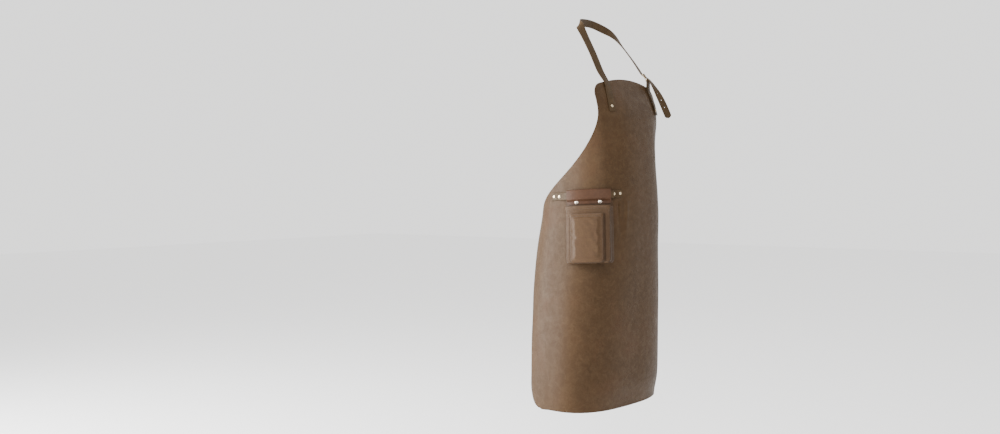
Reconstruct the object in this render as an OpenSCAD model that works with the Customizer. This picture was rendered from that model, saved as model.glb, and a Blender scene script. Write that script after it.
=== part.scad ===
// A leather bib apron, hanging by its neck loop and shaped as it is worn.
// The front faces -Y and the wearer's right is -X. The origin is the hang point:
// the underside of the nape band, at its middle.

/* [Apron panel] */
// Height of the panel from the top of the bib to the hem
panel_h = 1000; // [900:10:1100]
// Half the flat width of the skirt
skirt_half_w = 435; // [400:5:450]
// Half the flat width of the bib, at its widest
bib_half_w = 182; // [160:1:190]
// Thickness of the panel's leather
leather = 2; // [1.5:0.1:2.4]
// Radius of the two lower corners
hem_corner = 70; // [40:5:110]
// How far the hem dips towards its middle
hem_dip = 9; // [0:1:12]
// How far the top edge of the bib drops towards its corners
bib_sag = 18; // [8:1:24]

/* [Neck strap and buckle] */
// Width of the neck strap
strap_w = 25; // [22:0.5:25]
// Thickness of the neck strap
strap_t = 2.4; // [2:0.1:2.6]
// Distance of the strap rivets from the middle of the bib
rivet_x = 130; // [125:1:135]
// Height of the strap rivets below the top of the bib
rivet_drop = 88; // [80:1:95]
// Length of the buckle frame between the middles of its bars
buckle_len = 25; // [24:1:27]
// Thickness of the buckle wire
buckle_wire = 3; // [2.6:0.1:3.2]
// Spacing of the punched holes
hole_pitch = 25; // [20:1:27]
// Diameter of the punched holes
hole_d = 4; // [3:0.5:5]

/* [Side pocket] */
// Height of the hanger strap's middle below the top of the bib
hanger_drop = 354; // [340:1:360]
// Width of the hanger strap
hanger_w = 24; // [20:1:24]
// Width of the pocket's back
pocket_w = 150; // [140:1:154]
// Height of the pocket's lower edge below the hanger strap's middle
pocket_drop = 205; // [190:1:210]
// Depth of the main pocket
main_depth = 21; // [16:1:24]
// Depth of the small pocket on its front
small_depth = 13; // [8:1:16]
// How far the pocket leans out along the skirt, in degrees
pocket_lean = 7.3; // [7:0.1:7.8]

/* [Hidden] */
$fn = 48;

// Clearance between pieces that touch or pass each other
gap = 0.3;
// Clearance under a flat strap that lies on the curved panel
seat = 0.8;
// The hang point, measured from the middle of the bib's top edge
hang = [0, 45, 170];

// ---- Form of the panel: every level cut is a superellipse [height, half width, half depth, middle y]
power = 2.7;
form = [
    [-1000, 247, 140, 27], [-945, 248, 158, 29], [-800, 241, 163, 28], [-660, 229, 165, 24],
    [-515, 209, 161, 13], [-420, 197, 155, 2], [-340, 190, 152, 0], [-260, 180, 149, 0],
    [-190, 178, 146, 0], [-140, 197, 141, 0], [-95, 217, 132, 0], [-40, 232, 107, 0], [0, 240, 85, 0]];

function column(k) = [for (f = form) [f[0], f[k]]];
function eased(z, k) = (lookup(z - 25, column(k)) + 2 * lookup(z, column(k))
    + lookup(z + 25, column(k))) / 4;
function curved(v) = sign(v) * pow(abs(v), 2 / power);
function unit(v) = v / norm(v);

// A point of the outer face at a height, phi degrees round from the front
function at_angle(z, phi) = [eased(z, 1) * curved(sin(phi)),
    eased(z, 3) - eased(z, 2) * curved(cos(phi)), z];

// The outward level normal there
function outward(z, phi) =
    let (p = at_angle(z, phi), u = p[0] / eased(z, 1), v = (p[1] - eased(z, 3)) / eased(z, 2))
    unit([sign(u) * pow(abs(u), power - 1) / eased(z, 1),
          sign(v) * pow(abs(v), power - 1) / eased(z, 2), 0]);

// The angle at which the outer face is s mm round from the front, along a level line
arc_step = 2;
function arc_table(z) = [for (phi = 0, s = 0; phi <= 160;
    s = s + norm(at_angle(z, phi + arc_step) - at_angle(z, phi)), phi = phi + arc_step) [s, phi]];
function angle_at(table, s) = sign(s) * lookup(abs(s), table);

// The angle at which the outer face reaches a given x, on the front
function angle_of_x(z, x) = sign(x) * asin(pow(abs(x) / eased(z, 1), power / 2));

// A point d mm outside the outer face of the bib, and the level direction along it
function on_bib(x, z, d) = at_angle(z, angle_of_x(z, x)) + d * outward(z, angle_of_x(z, x));
function along_bib(x, z) = let (n = outward(z, angle_of_x(z, x))) [-n[1], n[0], 0];

// ---- Outline of the panel, as rows of [half width, height at the middle, height at the edge]
armhole_end = -404;
armhole = [[bib_half_w, -110], [bib_half_w + 9, -229], [305, -298], [skirt_half_w, armhole_end]];
function bezier(p, t) = pow(1 - t, 3) * p[0] + 3 * t * pow(1 - t, 2) * p[1]
    + 3 * t * t * (1 - t) * p[2] + t * t * t * p[3];
bib_corner = 40;
top_rows = [for (q = [0:22.5:90])
    [bib_half_w - bib_corner * (1 - sin(q)), -3 - 47 * q / 90 + 3 * cos(q),
     -bib_sag - bib_corner * (1 - cos(q))]];
bib_rows = [for (k = [1:4]) [bib_half_w, -50 - 9 * k, -bib_sag - bib_corner - 10.4 * k]];
arm_rows = [for (k = [0:0.5:8]) let (p = bezier(armhole, k / 8))
    [p[0], lookup(k, [[0, -95], [3, p[1]]]), p[1]]];
side_rows = [for (k = [1:5])
    let (z = armhole_end - (panel_h - hem_corner + armhole_end) * k / 5) [skirt_half_w, z, z]];
hem_rows = [for (q = [30:30:90]) let (z = -panel_h + hem_corner * (1 - sin(q)))
    [skirt_half_w - hem_corner * (1 - cos(q)), z - hem_dip * pow(q / 90, 2), z]];
rows = concat(top_rows, bib_rows, arm_rows, side_rows, hem_rows);
half_columns = 26;

function row_point(row, table, j, d) =
    let (u = j / half_columns, z = row[1] + (row[2] - row[1]) * u * u,
         phi = angle_at(table, row[0] * u))
    at_angle(z, phi) + d * outward(z, phi);

// A closed skin over a grid: every ring holds the outer points and then the inner ones
module skin(rings) {
    m = len(rings[0]);
    n = len(rings);
    points = [for (ring = rings) each ring];
    sides = [for (i = [0:n - 2], j = [0:m - 1])
        let (a = i * m + j, b = i * m + (j + 1) % m) each [[a, b, b + m], [a, b + m, a + m]]];
    half = m / 2;
    // An end is closed by a strip from the outer points to the inner ones
    ends = [for (j = [0:half - 2]) each
        let (a = j, b = j + 1, c = m - 2 - j, d = m - 1 - j, e = (n - 1) * m)
        [[a, d, c], [a, c, b], [e + a, e + c, e + d], [e + a, e + b, e + c]]];
    polyhedron(points, concat(sides, ends));
}

// ---- Straps are ribbons: stations of [middle, direction across]
function smooth(list, t) =
    let (i = min(floor(t), len(list) - 2), f = t - i, a = list[max(i - 1, 0)], b = list[i],
         c = list[i + 1], d = list[min(i + 2, len(list) - 1)])
    0.5 * (2 * b + (c - a) * f + (2 * a - 5 * b + 4 * c - d) * f * f
        + (3 * b - a - 3 * c + d) * f * f * f);

function ribbon_rings(stations, w, t) = [for (i = [0:len(stations) - 1])
    let (p = stations[i][0],
         along = unit(stations[min(i + 1, len(stations) - 1)][0] - stations[max(i - 1, 0)][0]),
         across = unit(stations[i][1] - (stations[i][1] * along) * along),
         face = cross(across, along))
    [p - across * w / 2 + face * t / 2, p + across * w / 2 + face * t / 2,
     p + across * w / 2 - face * t / 2, p - across * w / 2 - face * t / 2]];

function smoothed(list, parts) = [for (k = [0:(len(list) - 1) * parts])
    [smooth([for (s = list) s[0]], k / parts), smooth([for (s = list) s[1]], k / parts)]];

// ---- Buckle frame of reference: up along the strap, across it, and out of its face
buckle_at = [126, -85, 17];
up = unit([-0.193, 0.535, 0.823]);
buckle_turn = 14;
across_raw = [cos(buckle_turn), sin(buckle_turn), 0];
across = unit(across_raw - (across_raw * up) * up);
out = cross(across, up);
function at_buckle(n, u) = buckle_at + n * out + u * up;
// Puts children at a point, their x along a direction across the strap and their y up along it
module framed(at, side) {
    n = cross(side, up);
    multmatrix([[side[0], up[0], n[0], at[0]], [side[1], up[1], n[1], at[1]],
        [side[2], up[2], n[2], at[2]], [0, 0, 0, 1]]) children();
}
module in_buckle() {
    framed(buckle_at, across) children();
}
half_len = buckle_len / 2;
wire_r = buckle_wire / 2;
loop_t = 2;
loop_r = wire_r + 0.6 + loop_t / 2;
behind_nose = -(wire_r + 0.8 + strap_t / 2);
over_heel = loop_r + loop_t / 2 + 0.5 + strap_t / 2;

// The middle of the free tail d mm below the buckle, and its direction across, which turns
tail_turn = 45;
function tail_at(d) = at_buckle(over_heel - 17 * pow(max(0, (d - 40) / 110), 1.5), -d);
function tail_across(d) = let (w = tail_turn * min(1, max(0, (d - 18) / 70)))
    cos(w) * across + sin(w) * out;

strap_lift = seat + strap_t / 2;
nape = hang + [0, 0, strap_w / 2];
strap_route = [
    [on_bib(-rivet_x, -rivet_drop - 15, strap_lift), along_bib(-rivet_x, -rivet_drop)],
    [on_bib(-rivet_x + 1, -rivet_drop + 15, strap_lift), along_bib(-rivet_x, -rivet_drop)],
    [on_bib(-rivet_x + 6, -44, strap_lift), along_bib(-rivet_x + 6, -44)],
    [on_bib(-rivet_x + 10, -16, strap_lift + 1), along_bib(-rivet_x + 10, -16)],
    [[-114, -65, 20], [0.93, -0.37, 0]],
    [[-106, -34, 75], [0.9, -0.43, 0]],
    [[-95, 2, 130], [0.87, -0.48, 0.1]],
    [[-84, 26, 163], [0.62, -0.45, 0.6]],
    [[-62, 41, 178], [0.1, -0.1, 1]],
    [nape, [0, 0, 1]],
    [[48, 33, 172], [0, 0, 1]],
    [[78, 9, 152], [0.5, 0.3, 0.8]],
    [[93, -20, 114], [0.92, 0.38, 0.1]],
    [[108, -50, 69], [0.95, 0.3, 0]],
    [at_buckle(behind_nose, 30), across],
    [at_buckle(behind_nose, 14), across],
    [at_buckle((behind_nose + over_heel) / 2, 0), across],
    for (d = [14, 40, 70, 105, 150])
        [tail_at(d), tail_across(d)]];

// The outer leg's lift; the legs lie on a leaning face, so their level gap is wider
outer_leg = seat + 3 * gap + 1.5 * loop_t;
loop_route = concat(
    [[on_bib(rivet_x, -rivet_drop - 15, outer_leg), along_bib(rivet_x, -rivet_drop)],
     [on_bib(rivet_x, -rivet_drop + 15, outer_leg), along_bib(rivet_x, -rivet_drop)],
     [on_bib(rivet_x - 1, -50, outer_leg), along_bib(rivet_x, -50)],
     [on_bib(rivet_x - 2, -24, outer_leg + 0.5), along_bib(rivet_x, -24)]],
    [[at_buckle(loop_r, -half_len - 3), across]],
    [for (q = [90:-22.5:-90])
        [at_buckle(loop_r * sin(q), -half_len + loop_r * cos(q)), across]],
    [[at_buckle(-loop_r, -half_len - 3), across]],
    [[on_bib(rivet_x - 2, -24, seat + loop_t / 2 + 0.5), along_bib(rivet_x, -24)],
     [on_bib(rivet_x - 1, -50, seat + loop_t / 2), along_bib(rivet_x, -50)],
     [on_bib(rivet_x, -rivet_drop + 15, seat + loop_t / 2), along_bib(rivet_x, -rivet_drop)],
     [on_bib(rivet_x, -rivet_drop - 15, seat + loop_t / 2), along_bib(rivet_x, -rivet_drop)]]);

// ---- Pocket frame of reference: x along the strap, -y out of the panel, bent to a radius
pocket_turn = -70;
// The strap runs down towards the wearer's back, and the pocket hangs a little askew on it
pocket_roll = 2.5;
pocket_r = 180;
hanger_t = 2;
pocket_t = 1.8;
room = 1.5;
// Radii from the pocket's bending axis
back_r = pocket_r - hanger_t / 2 - room - pocket_t;
front_r = back_r + pocket_t + main_depth;
small_r = front_r + pocket_t + small_depth;
hanger_z = -hanger_drop;
out_dir = [sin(pocket_turn), -cos(pocket_turn), 0];
reach = max([for (phi = [-110:1:-20]) at_angle(hanger_z, phi) * out_dir]);
// Clearance between the panel and the pocket's back
pocket_gap = 1.8;
// Distance of the hanger strap's middle from the body's axis
hanger_out = reach + pocket_gap + pocket_r - back_r;

module in_pocket(lean = pocket_lean) {
    rotate([0, 0, pocket_turn]) translate([0, -hanger_out, hanger_z]) rotate([-lean, 0, 0])
        rotate([0, -pocket_roll, 0]) children();
}
function degrees(length, r) = length / r * 180 / PI;

// A bent sheet between two radii and two heights, spread over half an angle each way
module bent(r1, r2, z1, z2, half) {
    translate([0, pocket_r, 0]) rotate([0, 0, -90 - half]) rotate_extrude(angle = 2 * half, $fn = 96)
        translate([r1, z1]) square([r2 - r1, z2 - z1]);
}
function bent_point(r, a) = [r * sin(a), pocket_r - r * cos(a)];
// A flat wall that stands between two sheets, from angle a1 on the inner to a2 on the outer one
module wall(r1, a1, r2, a2, t, z1, z2, side) {
    d1 = degrees(t, r1);
    d2 = degrees(t, r2);
    translate([0, 0, z1]) linear_extrude(z2 - z1) polygon([bent_point(r1, side * a1),
        bent_point(r2, side * a2), bent_point(r2, side * (a2 - d2)), bent_point(r1, side * (a1 - d1))]);
}
module at_bent(r, a, z) {
    translate([0, pocket_r, 0]) rotate([0, 0, a]) translate([0, -r, z]) rotate([90, 0, 0]) children();
}

fold_half = degrees(69, pocket_r);
back_half = degrees(pocket_w / 2, pocket_r);
front_half = degrees(69, front_r);
small_back_half = degrees(56, front_r);
small_half = degrees(52, small_r);
fold_mid_z = hanger_w / 2 + 1;
fold_leg_z = 4;
flap_end_z = -27.5;
back_top_z = -29.5;
main_top_z = -35;
small_top_z = -60;
shoulder_z = -15;
snap_z = -21.2;
snap_angle = degrees(36, pocket_r);
flap_r = pocket_r + hanger_t / 2 + room;
// The lower flap lies close to the back
flap_low_r = back_r + pocket_t + gap;

hanger_lift = seat + hanger_t / 2;
rivet_angles = [-96.5, -103, -31, -39];
function strap_z(phi) = hanger_z + 3 + 10 * (phi + 35) / 68;
function on_side(phi, d) = at_angle(strap_z(phi), phi) + d * outward(strap_z(phi), phi);
// A direction of the pocket's frame of reference, and a point of the pocket's bend
function pocket_direction(v) =
    let (x = v[0] * cos(pocket_roll) - v[2] * sin(pocket_roll),
         w = v[2] * cos(pocket_roll) + v[0] * sin(pocket_roll),
         y = v[1] * cos(pocket_lean) + w * sin(pocket_lean),
         z = w * cos(pocket_lean) - v[1] * sin(pocket_lean))
    [x * cos(pocket_turn) - y * sin(pocket_turn), x * sin(pocket_turn) + y * cos(pocket_turn), z];
function on_bend(a) = let (p = bent_point(pocket_r, a))
    hanger_out * out_dir + [0, 0, hanger_z] + pocket_direction([p[0], p[1], 0]);
// Up along the panel, whose skirt widens downwards
function up_side(phi) = unit([0, 0, 1] - sin(6) * outward(hanger_z, phi));
hanger_route = concat(
    [for (phi = [-106, -103, -99.5, -96.5]) [on_side(phi, hanger_lift), up_side(phi)]],
    [for (a = [-24:4:24]) [on_bend(a), pocket_direction([0, 0, 1])]],
    [for (phi = [-39, -35, -31, -28]) [on_side(phi, hanger_lift), up_side(phi)]]);

// ---- Fasteners
snap_cap_d = 12;
stud_d = 4;
socket_d = 7;
module at_snaps(r) {
    in_pocket() for (side = [-1, 1]) at_bent(r, side * snap_angle, snap_z) children();
}

// A domed head: part of a ball, its flat side down
module dome(d, h) {
    ball_r = (d * d / 4 + h * h) / (2 * h);
    rotate_extrude() intersection() {
        translate([0, h - ball_r]) circle(ball_r, $fn = 96);
        square([d, h]);
    }
}
// How far the outer face leans back there, in degrees
function lean_at(z, phi) = atan((at_angle(z - 5, phi) - at_angle(z + 5, phi)) * outward(z, phi) / 10);
// Stands a fastener on the outer face, its axis +Z square to it
module standing(z, phi) {
    n = outward(z, phi);
    translate(at_angle(z, phi)) rotate([0, 0, atan2(n[0], -n[1])])
        rotate([90 - lean_at(z, phi), 0, 0]) children();
}

cap_d = 9;
cap_h = 1.8;
shaft_d = 3;
// A rivet's cap and shaft, whose cap stands a given height over the panel's outer face
module rivet(stack) {
    translate([0, 0, stack]) dome(cap_d, cap_h);
    translate([0, 0, -leather - seat - 0.6]) cylinder(d = shaft_d, h = stack + leather + seat + 0.6);
}
module rivet_back() {
    translate([0, 0, -leather - seat - 1.4]) cylinder(d = cap_d, h = 1);
}
module at_strap_rivets() {
    for (side = [-1, 1]) standing(-rivet_drop, angle_of_x(-rivet_drop, side * rivet_x)) children();
}
module at_hanger_rivets() {
    for (phi = rivet_angles) standing(strap_z(phi), phi) children();
}
strap_stack = seat + 2 * gap + 2 * loop_t;
hanger_stack = seat + gap + hanger_t;

// ---- Sub-parts, each drawn about the middle of the bib's top edge
module apron_panel_shape() {
    rings = [for (row = rows) let (table = arc_table(row[2]))
        concat([for (j = [-half_columns:half_columns]) row_point(row, table, j, 0)],
            [for (j = [half_columns:-1:-half_columns]) row_point(row, table, j, -leather)])];
    skin(rings);
}

module neck_strap_shape() {
    slot_start = -9.5;
    slot_length = 15;
    difference() {
        skin(ribbon_rings(smoothed(strap_route, 3), strap_w, strap_t));
        // Slot that the prong passes through
        in_buckle() translate([-1.7, slot_start, -8]) cube([3.4, slot_length, 16]);
        // Spare holes in the tail
        for (k = [1:4])
            framed(tail_at(14 + k * hole_pitch), tail_across(14 + k * hole_pitch))
                translate([0, 0, -6]) cylinder(d = hole_d, h = 12);
    }
}

module buckle_strap_shape() {
    difference() {
        skin(ribbon_rings(loop_route, strap_w - 1, loop_t));
        // Slot round the prong's eye
        in_buckle() translate([-2.4, -half_len - 5.5, -6]) cube([4.8, 12, 12]);
    }
}

module buckle_frame_shape() {
    frame_half = strap_w / 2 + 0.6 + wire_r;
    in_buckle() {
        for (side = [-1, 1]) {
            translate([-frame_half, side * half_len, 0]) rotate([0, 90, 0])
                cylinder(r = wire_r, h = 2 * frame_half);
            translate([side * frame_half, -half_len, 0]) rotate([-90, 0, 0])
                cylinder(r = wire_r, h = buckle_len);
            for (end = [-1, 1])
                translate([side * frame_half, end * half_len, 0]) sphere(r = wire_r);
        }
    }
}

module buckle_prong_shape() {
    prong_r = 1.1;
    eye_r = wire_r + 0.25;
    eye_wall = 1.2;
    reach_u = buckle_len + wire_r;
    rise = wire_r + prong_r + 0.25;
    start = eye_r + eye_wall - 0.6;
    in_buckle() translate([0, -half_len, 0]) {
        rotate([0, 90, 0]) difference() {
            cylinder(r = eye_r + eye_wall, h = 3.6, center = true);
            cylinder(r = eye_r, h = 6, center = true);
        }
        translate([0, start, 0.9]) rotate([atan2(rise - 0.9, buckle_len - start) - 90, 0, 0])
            cylinder(r = prong_r, h = reach_u - start);
    }
}

module strap_rivets_shape() {
    at_strap_rivets() rivet(strap_stack);
}
module strap_rivet_backs_shape() {
    at_strap_rivets() rivet_back();
}
module hanger_strap_shape() {
    skin(ribbon_rings(hanger_route, hanger_w, hanger_t));
}
module hanger_rivets_shape() {
    at_hanger_rivets() rivet(hanger_stack);
}
module hanger_rivet_backs_shape() {
    at_hanger_rivets() rivet_back();
}

// The band that folds over the hanger strap and hangs down behind it
module pocket_top_fold_shape() {
    ring_mid = (back_r + flap_r + pocket_t) / 2;
    ring_out = ring_mid - back_r;
    in_pocket() {
        translate([0, pocket_r, fold_mid_z]) rotate([0, 0, -90 - fold_half])
            rotate_extrude(angle = 2 * fold_half, $fn = 96) intersection() {
                translate([ring_mid, 0]) difference() {
                    circle(ring_out);
                    circle(ring_out - pocket_t);
                }
                translate([back_r, 0]) square([2 * ring_out, ring_out]);
            }
        bent(flap_r, flap_r + pocket_t, fold_leg_z, fold_mid_z, fold_half);
        bent(back_r, back_r + pocket_t, shoulder_z, fold_mid_z, fold_half);
        bent(back_r, back_r + pocket_t, flap_end_z, shoulder_z, back_half);
    }
}

module pocket_flap_shape() {
    half = fold_half - 0.3;
    bend_top = -hanger_w / 2 - 0.5;
    bend_low = bend_top - 2.6;
    difference() {
        in_pocket() translate([0, pocket_r, 0]) rotate([0, 0, -90 - half])
            rotate_extrude(angle = 2 * half, $fn = 96) polygon([
                [flap_r, fold_leg_z - 1], [flap_r, bend_top], [flap_low_r, bend_low],
                [flap_low_r, flap_end_z], [flap_low_r + pocket_t, flap_end_z],
                [flap_low_r + pocket_t, bend_low], [flap_r + pocket_t, bend_top],
                [flap_r + pocket_t, fold_leg_z - 1]]);
        at_snaps(flap_low_r - 1) cylinder(d = socket_d, h = 4);
    }
}

module pocket_back_shape() {
    in_pocket() bent(back_r, back_r + pocket_t, -pocket_drop, back_top_z, back_half);
}

module gusset(r1, half1, r2, half2, top) {
    in_pocket() {
        for (side = [-1, 1]) wall(r1, half1, r2, half2, pocket_t, -pocket_drop, top, side);
        bent(r1, r2, -pocket_drop, -pocket_drop + pocket_t, half2 - 1);
    }
}
module main_pocket_gusset_shape() {
    gusset(back_r + pocket_t, back_half, front_r, front_half, main_top_z);
}
module main_pocket_front_shape() {
    in_pocket() bent(front_r, front_r + pocket_t, -pocket_drop, main_top_z, front_half);
}
module small_pocket_gusset_shape() {
    gusset(front_r + pocket_t, small_back_half, small_r, small_half, small_top_z);
}
module small_pocket_front_shape() {
    in_pocket() bent(small_r, small_r + pocket_t, -pocket_drop, small_top_z, small_half);
}

// ---- Two snap fasteners hold the flap to the band behind it
module snap_caps_shape() {
    at_snaps(flap_low_r + pocket_t + gap) dome(snap_cap_d, 2.4);
}
module snap_sockets_shape() {
    at_snaps(flap_low_r) difference() {
        cylinder(d = socket_d, h = pocket_t + gap);
        translate([0, 0, -1]) cylinder(d = stud_d + 0.9, h = pocket_t + 1);
    }
}
module snap_studs_shape() {
    at_snaps(back_r + pocket_t) cylinder(d = stud_d, h = 1.6);
}
module snap_posts_shape() {
    at_snaps(back_r) translate([0, 0, -0.5]) cylinder(d = 9, h = 0.4);
}

module placed() {
    translate(-hang) children();
}
module apron_panel() {
    color("#6f5d4e") placed() apron_panel_shape();
}
module neck_strap() {
    color("#5b4337") placed() neck_strap_shape();
}
module buckle_strap() {
    color("#5b4337") placed() buckle_strap_shape();
}
module buckle_frame() {
    color("#8d7b5f") placed() buckle_frame_shape();
}
module buckle_prong() {
    color("#9a8768") placed() buckle_prong_shape();
}
module strap_rivets() {
    color("#b9a88c") placed() strap_rivets_shape();
}
module strap_rivet_backs() {
    color("#8f8065") placed() strap_rivet_backs_shape();
}
module hanger_strap() {
    color("#6a5140") placed() hanger_strap_shape();
}
module hanger_rivets() {
    color("#c0ad8d") placed() hanger_rivets_shape();
}
module hanger_rivet_backs() {
    color("#8f8065") placed() hanger_rivet_backs_shape();
}
module pocket_top_fold() {
    color("#5a3a33") placed() pocket_top_fold_shape();
}
module pocket_flap() {
    color("#63423a") placed() pocket_flap_shape();
}
module pocket_back() {
    color("#6b5444") placed() pocket_back_shape();
}
module main_pocket_gusset() {
    color("#77604f") placed() main_pocket_gusset_shape();
}
module main_pocket_front() {
    color("#6a5343") placed() main_pocket_front_shape();
}
module small_pocket_gusset() {
    color("#7b6453") placed() small_pocket_gusset_shape();
}
module small_pocket_front() {
    color("#5f4a3c") placed() small_pocket_front_shape();
}
module snap_caps() {
    color("#c8c0b4") placed() snap_caps_shape();
}
module snap_sockets() {
    color("#8f8065") placed() snap_sockets_shape();
}
module snap_studs() {
    color("#8f8065") placed() snap_studs_shape();
}
module snap_posts() {
    color("#8f8065") placed() snap_posts_shape();
}

apron_panel();
neck_strap();
buckle_strap();
buckle_frame();
buckle_prong();
strap_rivets();
strap_rivet_backs();
hanger_strap();
hanger_rivets();
hanger_rivet_backs();
pocket_top_fold();
pocket_flap();
pocket_back();
main_pocket_gusset();
main_pocket_front();
small_pocket_gusset();
small_pocket_front();
snap_caps();
snap_sockets();
snap_studs();
snap_posts();
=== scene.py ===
import math

import bmesh
import bpy
import numpy as np
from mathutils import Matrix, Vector


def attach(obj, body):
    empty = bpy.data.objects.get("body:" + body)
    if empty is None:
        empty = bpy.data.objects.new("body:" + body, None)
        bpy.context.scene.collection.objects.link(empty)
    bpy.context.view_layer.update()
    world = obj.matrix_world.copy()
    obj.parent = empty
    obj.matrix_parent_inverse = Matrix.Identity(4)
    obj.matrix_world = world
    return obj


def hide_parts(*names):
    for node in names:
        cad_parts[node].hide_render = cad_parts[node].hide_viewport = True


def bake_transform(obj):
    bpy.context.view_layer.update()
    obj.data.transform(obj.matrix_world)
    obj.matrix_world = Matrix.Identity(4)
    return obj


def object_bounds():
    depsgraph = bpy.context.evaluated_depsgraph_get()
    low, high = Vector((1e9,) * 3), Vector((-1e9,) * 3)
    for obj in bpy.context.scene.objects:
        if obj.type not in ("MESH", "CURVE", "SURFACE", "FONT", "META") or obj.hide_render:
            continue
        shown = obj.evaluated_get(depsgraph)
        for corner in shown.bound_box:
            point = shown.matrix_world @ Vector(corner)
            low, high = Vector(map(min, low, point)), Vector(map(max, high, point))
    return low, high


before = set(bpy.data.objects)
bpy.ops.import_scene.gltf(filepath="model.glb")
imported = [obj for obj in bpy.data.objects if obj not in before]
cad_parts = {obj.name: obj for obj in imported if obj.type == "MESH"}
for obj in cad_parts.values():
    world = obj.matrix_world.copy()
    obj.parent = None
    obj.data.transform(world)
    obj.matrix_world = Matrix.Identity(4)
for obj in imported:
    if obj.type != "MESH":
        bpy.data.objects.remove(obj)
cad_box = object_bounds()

# Lengths are in millimetres about the middle of the bib's top edge until to_row() turns
# them into metres about the hang point, which is the CAD frame.
HANG = np.array([0, 45, 170])


def to_row(points):
    return (np.asarray(points, float) - HANG) / 1000


def unit(v):
    v = np.asarray(v, float)
    return v / np.linalg.norm(v, axis=-1, keepdims=True)


def run_of(points):
    """Length run from the first of the points to each of them."""
    return np.concatenate([[0], np.cumsum(np.linalg.norm(np.diff(points, axis=0), axis=1))])


# ---- form of the panel
POWER = 2.7
LEATHER = 2.0
SKIRT_HALF, BIB_HALF = 435, 182
ARMHOLE_END = -404
BIB_SAG, BIB_CORNER = 18, 40
PANEL_H, HEM_CORNER, HEM_DIP = 1000, 70, 9
# height, half width, half depth and middle y of the superellipse that each level cut is
FORM = np.array([
    [-1000, 247, 140, 27], [-945, 248, 158, 29], [-800, 241, 163, 28], [-660, 229, 165, 24],
    [-515, 209, 161, 13], [-420, 197, 155, 2], [-340, 190, 152, 0], [-260, 180, 149, 0],
    [-190, 178, 146, 0], [-140, 197, 141, 0], [-95, 217, 132, 0], [-40, 232, 107, 0],
    [0, 240, 85, 0]], float)


def eased(z, k):
    at = lambda h: np.interp(h, FORM[:, 0], FORM[:, k])
    return (at(z - 25) + 2 * at(z) + at(z + 25)) / 4


def curved(v):
    return np.sign(v) * np.abs(v) ** (2 / POWER)


def section(z, phi):
    """Points of the outer face at heights z, phi degrees round from the front."""
    a = np.radians(phi)
    x = eased(z, 1) * curved(np.sin(a))
    y = eased(z, 3) - eased(z, 2) * curved(np.cos(a))
    return np.stack([x, y, np.broadcast_to(z, x.shape)], -1)


def outward(z, phi):
    """The outward level normals there."""
    p = section(z, phi)
    u, v = p[..., 0] / eased(z, 1), (p[..., 1] - eased(z, 3)) / eased(z, 2)
    n = [np.sign(u) * np.abs(u) ** (POWER - 1) / eased(z, 1),
         np.sign(v) * np.abs(v) ** (POWER - 1) / eased(z, 2), 0 * u]
    return unit(np.stack(n, -1))


def angle_of_x(z, x):
    return np.sign(x) * np.degrees(np.arcsin((np.abs(x) / eased(z, 1)) ** (POWER / 2)))


def on_bib(x, z, lift):
    phi = angle_of_x(z, x)
    return section(z, phi) + lift * outward(z, phi)


def along_bib(x, z):
    n = outward(z, angle_of_x(z, x))
    return np.array([-n[1], n[0], 0])


def lean_at(z, phi):
    """How far the outer face leans back there, in radians."""
    return math.atan((section(z - 5.0, phi) - section(z + 5.0, phi)) @ outward(z, phi) / 10)


def square_to(z, phi):
    """The face's own normal, leaning with it."""
    lean = lean_at(z, phi)
    return outward(z, phi) * math.cos(lean) + np.array([0, 0, math.sin(lean)])


def bezier(p, t):
    p, t = np.array(p, float), t[:, None]
    return ((1 - t) ** 3 * p[0] + 3 * t * (1 - t) ** 2 * p[1]
            + 3 * t * t * (1 - t) * p[2] + t ** 3 * p[3])


def panel_rows():
    """Rows down the panel: half width, height at the middle and height at the edge."""
    q = np.linspace(0, math.pi / 2, 22)
    top = np.stack([BIB_HALF - BIB_CORNER * (1 - np.sin(q)), -3 - 94 * q / math.pi + 3 * np.cos(q),
                    -BIB_SAG - BIB_CORNER * (1 - np.cos(q))], -1)
    k = np.linspace(0, 1, 16)[1:-1]
    bib = np.stack([0 * k + BIB_HALF, -50 - 45 * k, -BIB_SAG - BIB_CORNER - 52 * k], -1)
    t = np.linspace(0, 1, 64)
    arm = bezier([[BIB_HALF, -110], [BIB_HALF + 9, -229], [305, -298],
                  [SKIRT_HALF, ARMHOLE_END]], t)
    share = np.minimum(t * 8 / 3, 1)
    arm = np.stack([arm[:, 0], -95 * (1 - share) + arm[:, 1] * share, arm[:, 1]], -1)
    side_z = np.linspace(ARMHOLE_END, HEM_CORNER - PANEL_H, 84)[1:]
    side = np.stack([0 * side_z + SKIRT_HALF, side_z, side_z], -1)
    q = np.linspace(0, math.pi / 2, 20)[1:]
    hem_z = HEM_CORNER * (1 - np.sin(q)) - PANEL_H
    dip = HEM_DIP * (2 * q / math.pi) ** 2
    hem = np.stack([SKIRT_HALF - HEM_CORNER * (1 - np.cos(q)), hem_z - dip, hem_z], -1)
    return np.concatenate([top, bib, arm, side, hem])


def ridge(x, middle, width):
    return np.exp(-((x - middle) / width) ** 2)


HANGER_Z, HANGER_ENDS = -354, ((-118, -351), (-330, -361))


def strap_z(phi):
    """Height of the hanger strap's middle: it runs down towards the wearer's back."""
    return HANGER_Z + 3 + 10 * (phi + 35) / 68


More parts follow.
